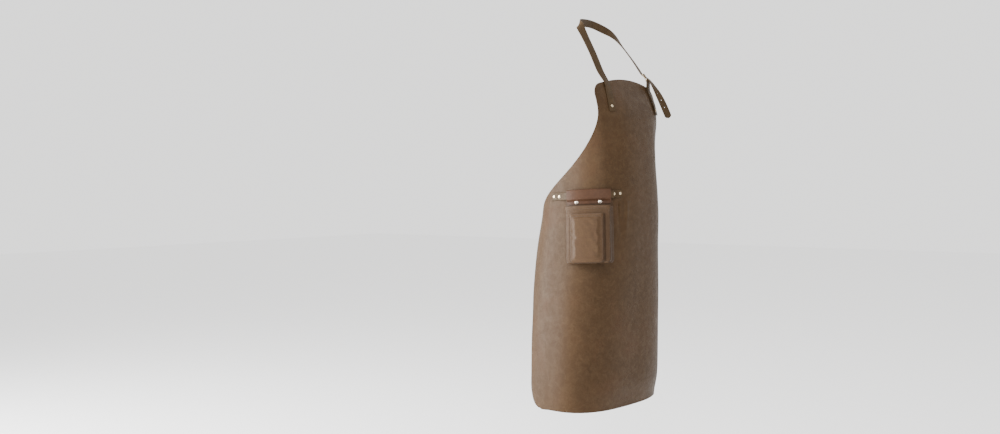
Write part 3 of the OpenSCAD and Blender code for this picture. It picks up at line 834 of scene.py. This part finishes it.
def make_fasteners():
    strap_phis = [float(angle_of_x(RIVET_Z, side * RIVET_X)) for side in (-1, 1)]
    strap_stack = SEAT + 2 * GAP + 2 * LOOP_T
    hanger_phis, hanger_stack = (-96.5, -103.0, -31.0, -39.0), SEAT + GAP + HANGER_T
    made = {}

    def add(name, node, body, profile, places):
        obj = turned(name, profile, places)
        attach(obj, body)
        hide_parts(node)
        made[name] = obj

    add("strap_rivet_caps", "strap_rivets", "apron", rivet_profile(strap_stack),
        [on_face(RIVET_Z, phi, strap_stack if side > 0 else SEAT + GAP + STRAP_T)
         for side, phi in zip((-1, 1), strap_phis)])
    add("hanger_rivet_caps", "hanger_rivets", "apron", rivet_profile(hanger_stack),
        [on_face(strap_z(phi), phi, hanger_stack) for phi in hanger_phis])

    def inside(z, phi):
        axes, origin = on_face(z, phi)
        turned_over = np.array([axes[0], -axes[1], -axes[2]])
        return turned_over, origin - axes[2] * (LEATHER + SEAT + 0.2)
    add("strap_rivet_burrs", "strap_rivet_backs", "apron", washer_profile(RIVET_D, BURR_H),
        [inside(RIVET_Z, phi) for phi in strap_phis])
    add("hanger_rivet_burrs", "hanger_rivet_backs", "apron", washer_profile(RIVET_D, BURR_H),
        [inside(strap_z(phi), phi) for phi in hanger_phis])
    snap_lift = FLAP_LOW_R + POCKET_T + 0.1
    places = []
    for side in (-1, 1):
        a = side * SNAP_X / POCKET_R
        places.append(basis(bent(a, snap_lift, SNAP_Z), bent_outward(a)))
    add("snap_cap_pair", "snap_caps", "flap", cap_profile(SNAP_D, SNAP_H, SNAP_RIM), places)
    return made


# ---- stitching
def back_line(side, inset=2.0):
    """Points and outward normals down one side of the pocket's back, inset from its edge."""
    z = np.linspace(-36.0, -188.0, 60)
    a = side * (back_half_width(z) - inset) / (BACK_R + POCKET_T)
    return bent(a, BACK_R + POCKET_T, z), bent_outward(a)


def mouth_line(half, top, drop, surface, reference):
    s = np.linspace(-half, half, 60)
    z = np.full_like(s, top - drop)
    return bent(s / reference, surface(s / half, z), z), bent_outward(s / reference)


def seam_line(half, top, corner, inset, surface, reference):
    """Down one side, along the bottom and up the other side, inset from the edge."""
    s, z = outline(half - inset, top, max(corner - inset, 3))
    z = np.maximum(z, BOTTOM_Z + inset) if inset else z
    return bent(s / reference, surface(s / half, z), z), bent_outward(s / reference)


def grid_line(grid, normals, rows_cols):
    return (np.array([grid[r, c] for r, c in rows_cols]),
            np.array([normals[r, c] for r, c in rows_cols]))


def make_stitches(small_mid):
    face = POCKET_T / 2
    main = lambda u, z: main_front_r(u, z) + face
    lines = [seam_line(MAIN_W, MAIN_TOP_Z - 0.5, CORNER, 3.5, main, FRONT_R)]
    for drop in (4.0, 10.0):
        lines.append(mouth_line(62, MAIN_TOP_Z, drop, lambda u, z: main(u, z) + 0.75, FRONT_R))
    on_main = stitched("main_pocket_stitches", lines)
    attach(on_main, "pocket")

    n = grid_normals(small_mid)
    g = small_mid + n * face
    rows, columns = g.shape[:2]
    rim = [(r, 2) for r in range(0, rows - 2)] + [(rows - 3, c) for c in range(3, columns - 3)]
    rim += [(r, columns - 3) for r in range(rows - 3, -1, -1)]
    across = [(r, c) for r in (1, 4) for c in range(3, columns - 3)]
    half = len(across) // 2
    small_lines = [grid_line(g, n, rim)]
    for part in (across[:half], across[half:]):
        p, q = grid_line(g, n, part)
        small_lines.append((p + q * 0.75, q))
    on_small = stitched("small_pocket_stitches", small_lines)
    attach(on_small, "pocket")

    # down both sides of the back, outside the gusset
    on_back = stitched("pocket_back_stitches", [back_line(1), back_line(-1)])
    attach(on_back, "pocket")
    return on_main, on_small, on_back


# ---- materials
class Nodes:
    """Short calls for building a material's nodes."""

    def __init__(self, name):
        self.material = bpy.data.materials.new(name)
        self.material.use_nodes = True
        self.tree = self.material.node_tree
        self.tree.nodes.clear()
        self.output = self.tree.nodes.new("ShaderNodeOutputMaterial")
        self.shader = self.tree.nodes.new("ShaderNodeBsdfPrincipled")
        self.link(self.shader.outputs[0], self.output.inputs["Surface"])
        self.place = self.tree.nodes.new("ShaderNodeTexCoord").outputs["Object"]

    def link(self, a, b):
        self.tree.links.new(a, b)

    def put(self, socket, value):
        """Links the socket if value is an output, and sets it otherwise."""
        if hasattr(value, "is_linked"):
            self.link(value, socket)
        else:
            socket.default_value = value

    def set(self, **values):
        for key, value in values.items():
            self.put(self.shader.inputs[key.replace("_", " ")], value)

    def feed(self, node, **values):
        for key, value in values.items():
            numbered = key[0] == "i" and key[1:].isdigit()
            self.put(node.inputs[int(key[1:]) if numbered else key], value)
        return node

    def noise(self, scale, detail=4.0, rough=0.55, distort=0.0, place=None):
        node = self.tree.nodes.new("ShaderNodeTexNoise")
        self.feed(node, Vector=place or self.place, Scale=scale, Detail=detail, Roughness=rough,
                  Distortion=distort)
        return node.outputs["Fac"]

    def stretched(self, scale):
        node = self.tree.nodes.new("ShaderNodeMapping")
        self.feed(node, Vector=self.place, Scale=scale)
        return node.outputs[0]

    def cells(self, scale, feature="F1"):
        node = self.tree.nodes.new("ShaderNodeTexVoronoi")
        node.feature = feature
        self.feed(node, Vector=self.place, Scale=scale)
        return node.outputs["Distance"]

    def ramp(self, fac, *stops):
        node = self.tree.nodes.new("ShaderNodeValToRGB")
        ramp = node.color_ramp
        while len(ramp.elements) < len(stops):
            ramp.elements.new(0.5)
        for element, (at, colour) in zip(ramp.elements, stops):
            element.position = at
            colour = (colour,) * 3 if isinstance(colour, (int, float)) else tuple(colour)
            element.color = colour + (1,)
        self.link(fac, node.inputs[0])
        return node.outputs[0]

    def math(self, op, a, b=0.0):
        node = self.tree.nodes.new("ShaderNodeMath")
        node.operation = op
        self.feed(node, i0=a, i1=b)
        return node.outputs[0]

    def mix(self, fac, a, b):
        node = self.tree.nodes.new("ShaderNodeMix")
        node.data_type = "RGBA"
        for socket, value in ((node.inputs[0], fac), (node.inputs[6], a), (node.inputs[7], b)):
            self.put(socket, value + (1,) if isinstance(value, tuple) else value)
        return node.outputs[2]

    def remap(self, value, low, high, to_low, to_high):
        node = self.tree.nodes.new("ShaderNodeMapRange")
        self.feed(node, i0=value, i1=low, i2=high, i3=to_low, i4=to_high)
        return node.outputs[0]

    def bump(self, height, distance, strength=1.0, normal=None):
        node = self.tree.nodes.new("ShaderNodeBump")
        self.feed(node, Height=height, Distance=distance, Strength=strength)
        if normal is not None:
            self.link(normal, node.inputs["Normal"])
        return node.outputs[0]


def scaled(colour, k):
    return tuple(c * k for c in colour)


def grain_leather(name, base, warm, pale, rough=0.5, mottle=1.0, fine=1.0):
    """Waxed full-grain leather: clouded colour, pale rub marks, pores and short creases."""
    m = Nodes(name)
    cloud = m.noise(9, 5, 0.6, 0.3)
    patch = m.noise(55, 6, 0.7, 0.6)
    speck = m.noise(240, 5, 0.75)
    colour = m.ramp(cloud, (0.3, scaled(base, 0.86)), (0.52, base), (0.72, warm))
    colour = m.mix(m.remap(patch, 0.42, 0.68, 0.0, 0.55 * mottle), colour, pale)
    colour = m.mix(m.remap(speck, 0.35, 0.62, 0.4 * mottle, 0.0), colour, scaled(base, 0.62))
    wrinkle = m.noise(120, 3, 0.5, 1.6, m.stretched((1.0, 1.0, 1.9)))
    thin = m.math("ABSOLUTE", m.math("SUBTRACT", wrinkle, 0.5))
    crease = m.remap(thin, 0.0, 0.035, 1.0, 0.0)
    some = m.remap(m.noise(18, 3), 0.48, 0.62, 0.0, 0.5 * mottle)
    crease = m.math("MULTIPLY", crease, some)
    colour = m.mix(crease, colour, scaled(base, 0.5))
    pores = m.remap(m.cells(1150), 0.1, 0.55, 0.0, 1.0)
    grain = m.remap(m.cells(620, "DISTANCE_TO_EDGE"), 0.0, 0.16, 0.0, 1.0)
    height = m.math("ADD", m.math("MULTIPLY", pores, 0.35), m.math("MULTIPLY", grain, 0.65))
    normal = m.bump(height, 0.00012 * fine, 0.7)
    normal = m.bump(m.noise(85, 5, 0.6, 0.4), 0.0007 * fine, 0.55, normal)
    normal = m.bump(m.math("SUBTRACT", 1.0, crease), 0.0003, 0.6, normal)
    gloss = m.remap(m.math("ADD", m.math("MULTIPLY", patch, 0.7), m.math("MULTIPLY", speck, 0.3)),
                    0.3, 0.7, rough + 0.1, rough - 0.08)
    m.set(Base_Color=colour, Roughness=gloss, Normal=normal)
    m.shader.inputs["Specular IOR Level"].default_value = 0.09
    return m.material


def flesh_leather(name, base):
    """The unfinished inner side: matt, fibrous and a little paler."""
    m = Nodes(name)
    fibre = m.noise(900, 6, 0.8, 0.5)
    nap = m.noise(38, 5, 0.7, 0.4)
    colour = m.ramp(nap, (0.35, scaled(base, 0.8)), (0.65, scaled(base, 1.15)))
    colour = m.mix(m.remap(fibre, 0.35, 0.65, 0.45, 0.0), colour, scaled(base, 0.55))
    normal = m.bump(m.math("ADD", fibre, m.math("MULTIPLY", nap, 0.4)), 0.0005, 0.8)
    m.set(Base_Color=colour, Roughness=0.93, Normal=normal)
    m.shader.inputs["Sheen Weight"].default_value = 0.25
    m.shader.inputs["Sheen Roughness"].default_value = 0.5
    m.shader.inputs["Specular IOR Level"].default_value = 0.2
    return m.material


def edge_leather(name, base):
    """A cut edge, rubbed dark, with its fibres showing in places."""
    m = Nodes(name)
    fibre = m.noise(1400, 4, 0.7)
    colour = m.ramp(m.noise(160, 4), (0.35, scaled(base, 0.7)), (0.7, scaled(base, 1.5)))
    colour = m.mix(m.remap(fibre, 0.4, 0.6, 0.35, 0.0), colour, scaled(base, 0.5))
    m.set(Base_Color=colour, Roughness=0.55, Normal=m.bump(fibre, 0.00025, 0.7))
    return m.material


def aged_metal(name, base, dull, rough, wear=1.0):
    """Plated metal with dull patches, hairline scratches and fingered polish."""
    m = Nodes(name)
    patch = m.noise(420, 5, 0.65)
    scratch = m.noise(2600, 2, 0.5, 0.0, m.stretched((1.0, 0.12, 1.0)))
    colour = m.mix(m.remap(patch, 0.42, 0.64, 0.0, 0.75 * wear), base, dull)
    gloss = m.remap(m.math("ADD", patch, m.math("MULTIPLY", scratch, 0.5)), 0.5, 1.0,
                    rough - 0.08, rough + 0.2)
    m.set(Base_Color=colour, Metallic=1.0, Roughness=gloss,
          Normal=m.bump(m.math("ADD", scratch, patch), 0.00004, 0.5))
    return m.material


def thread_material(name, base):
    """Waxed thread: twisted strands."""
    m = Nodes(name)
    twist = m.noise(2400, 3, 0.6, 0.8)
    colour = m.ramp(twist, (0.35, scaled(base, 0.6)), (0.65, scaled(base, 1.3)))
    m.set(Base_Color=colour, Roughness=0.6, Normal=m.bump(twist, 0.0002, 0.7))
    return m.material


def give(obj, *materials):
    obj.data.materials.clear()
    for material in materials:
        obj.data.materials.append(material)


# ---- studio
AXIS = Vector((0, -0.045, 0))
AZIMUTH, TILT = math.radians(-57.95), math.radians(1.79)
VIEW_FROM = Vector((math.sin(AZIMUTH), -math.cos(AZIMUTH), 0))
CAMERA_AWAY, CAMERA_Z = 3.61, -0.484
LENS, SENSOR, SHIFT_X, CLIP = 41.2, 36, -0.102, (0.05, 100)
FLOOR_DROP, FLOOR_HALF = 0.35, 14
WORLD_LIGHT = 1.7
LIT_MIDDLE = (0, -0.045, -0.6)
# name, place, width in metres and power in watts of each area light; both face LIT_MIDDLE
LIGHTS = (("key", (-2.7, 2.9, -0.1), 2.4, 760), ("fill", (-3.2, -1.8, 1.3), 1.6, 100))


def make_studio():
    lowest = cad_box[0].z
    scene = bpy.context.scene
    floor_z = lowest - FLOOR_DROP
    mesh = bpy.data.meshes.new("floor")
    size = FLOOR_HALF
    mesh.from_pydata([(-size, -size, floor_z), (size, -size, floor_z), (size, size, floor_z),
                      (-size, size, floor_z)], [], [(0, 1, 2, 3)])
    floor = bpy.data.objects.new("floor", mesh)
    scene.collection.objects.link(floor)
    m = Nodes("floor_pale")
    m.set(Base_Color=(0.93, 0.93, 0.93, 1), Roughness=0.9)
    give(floor, m.material)

    world = bpy.data.worlds.new("studio")
    world.use_nodes = True
    back = world.node_tree.nodes["Background"]
    back.inputs[0].default_value = (1.0, 0.995, 0.985, 1)
    back.inputs[1].default_value = WORLD_LIGHT
    scene.world = world

    for name, at, width, power in LIGHTS:
        light = bpy.data.lights.new(name, "AREA")
        light.shape, light.size, light.size_y = "RECTANGLE", width, width * 1.3
        light.energy = power
        obj = bpy.data.objects.new(name, light)
        scene.collection.objects.link(obj)
        obj.location = at
        obj.rotation_mode = "QUATERNION"
        obj.rotation_quaternion = (Vector(LIT_MIDDLE) - Vector(at)).to_track_quat("-Z", "Y")

    lens = bpy.data.cameras.new("camera")
    camera = bpy.data.objects.new("camera", lens)
    scene.collection.objects.link(camera)
    scene.camera = camera
    lens.sensor_width, lens.lens, lens.shift_x = SENSOR, LENS, SHIFT_X
    lens.clip_start, lens.clip_end = CLIP
    at = AXIS + VIEW_FROM * CAMERA_AWAY
    camera.location = (at.x, at.y, CAMERA_Z)
    look = Vector((-VIEW_FROM.x * math.cos(TILT), -VIEW_FROM.y * math.cos(TILT), -math.sin(TILT)))
    camera.rotation_mode = "QUATERNION"
    camera.rotation_quaternion = look.to_track_quat("-Z", "Y")


# ---- the apron
PANEL_BROWN = (0.040, 0.0214, 0.0092)
PANEL_WARM = (0.047, 0.0228, 0.0100)
PANEL_PALE = (0.062, 0.037, 0.0175)
STRAP_BROWN = (0.036, 0.0215, 0.0095)
FOLD_BROWN = (0.040, 0.0185, 0.0095)
POCKET_BROWN = (0.050, 0.0275, 0.0140)
FLESH_TAN, EDGE_DARK = (0.085, 0.058, 0.037), (0.022, 0.0125, 0.0075)
THREAD_DARK = (0.05, 0.033, 0.021)
# pieces that get a darker copy of the pocket leather: painted shade for the recesses round the
# pocket fronts
IN_SHADE = ("pocket_back_leather", "main_gusset_leather", "small_gusset_leather")


def main():
    make_studio()
    panel_face = grain_leather("panel_grain", PANEL_BROWN, PANEL_WARM, PANEL_PALE, 0.5)
    flesh = flesh_leather("flesh_side", FLESH_TAN)
    edge = edge_leather("burnished_edge", EDGE_DARK)
    strap_face = grain_leather("strap_grain", STRAP_BROWN, scaled(STRAP_BROWN, 1.2),
                               scaled(STRAP_BROWN, 1.8), 0.48, 0.8, 0.8)
    fold_face = grain_leather("fold_grain", FOLD_BROWN, scaled(FOLD_BROWN, 1.15),
                              scaled(FOLD_BROWN, 1.7), 0.42, 0.8, 0.9)
    pocket_face = grain_leather("pocket_grain", POCKET_BROWN, scaled(POCKET_BROWN, 1.15),
                                PANEL_PALE, 0.46)
    thread = thread_material("dark_thread", THREAD_DARK)
    buckle_metal = aged_metal("buckle_brass", (0.2, 0.15, 0.095), (0.09, 0.065, 0.045), 0.36)
    rivet_metal = aged_metal("rivet_brass", (0.52, 0.43, 0.30), (0.25, 0.18, 0.11), 0.22, 0.7)
    snap_metal = aged_metal("snap_nickel", (0.50, 0.44, 0.38), (0.26, 0.21, 0.17), 0.18, 0.7)

    face, flat = panel_grid()
    back = face - LEATHER * grid_normals(face)
    apron = shell("apron_leather", face, back)
    give(apron, panel_face, flesh, edge)
    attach(apron, "apron")
    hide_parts("apron_panel")

    for strap in make_straps():
        give(strap, strap_face, flesh, edge)
    hanger = ribbon("hanger_strap_leather", hanger_route(), HANGER_W, HANGER_T)
    give(hanger, strap_face, flesh, edge)
    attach(hanger, "apron")
    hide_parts("hanger_strap")

    flap = make_flap()
    give(flap, fold_face, flesh, edge)
    small_front, small_mid = make_small_front()
    pieces = [make_pocket_back(), make_main_front(), small_front,
              make_gusset("main_gusset_leather", "main_pocket_gusset",
                          (BACK_W, CORNER, BACK_R + POCKET_T), (MAIN_W, CORNER, FRONT_R),
                          MAIN_TOP_Z, 2.5),
              make_gusset("small_gusset_leather", "small_pocket_gusset",
                          (SMALL_BACK_W, CORNER, FRONT_R + POCKET_T), (SMALL_W, CORNER, SMALL_R),
                          SMALL_TOP_Z, 1.2)]
    # the pocket leather at 0.66 of its brightness, painted shade on the back and gussets where the
    # fronts shade them
    shaded_pocket_face = grain_leather("pocket_painted_shade_grain", scaled(POCKET_BROWN, 0.66),
                               scaled(POCKET_BROWN, 0.74), POCKET_BROWN, 0.5)
    for piece in pieces:
        give(piece, shaded_pocket_face if piece.name in IN_SHADE else pocket_face, flesh, edge)
    for piece in make_stitches(small_mid):
        give(piece, thread)

    for name, piece in make_fasteners().items():
        is_snap = name.startswith("snap")
        give(piece, snap_metal if is_snap else rivet_metal)
    for node, material in (("buckle_frame", buckle_metal), ("buckle_prong", buckle_metal),
                           ("snap_sockets", snap_metal), ("snap_studs", snap_metal),
                           ("snap_posts", snap_metal)):
        give(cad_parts[node], material)


main()
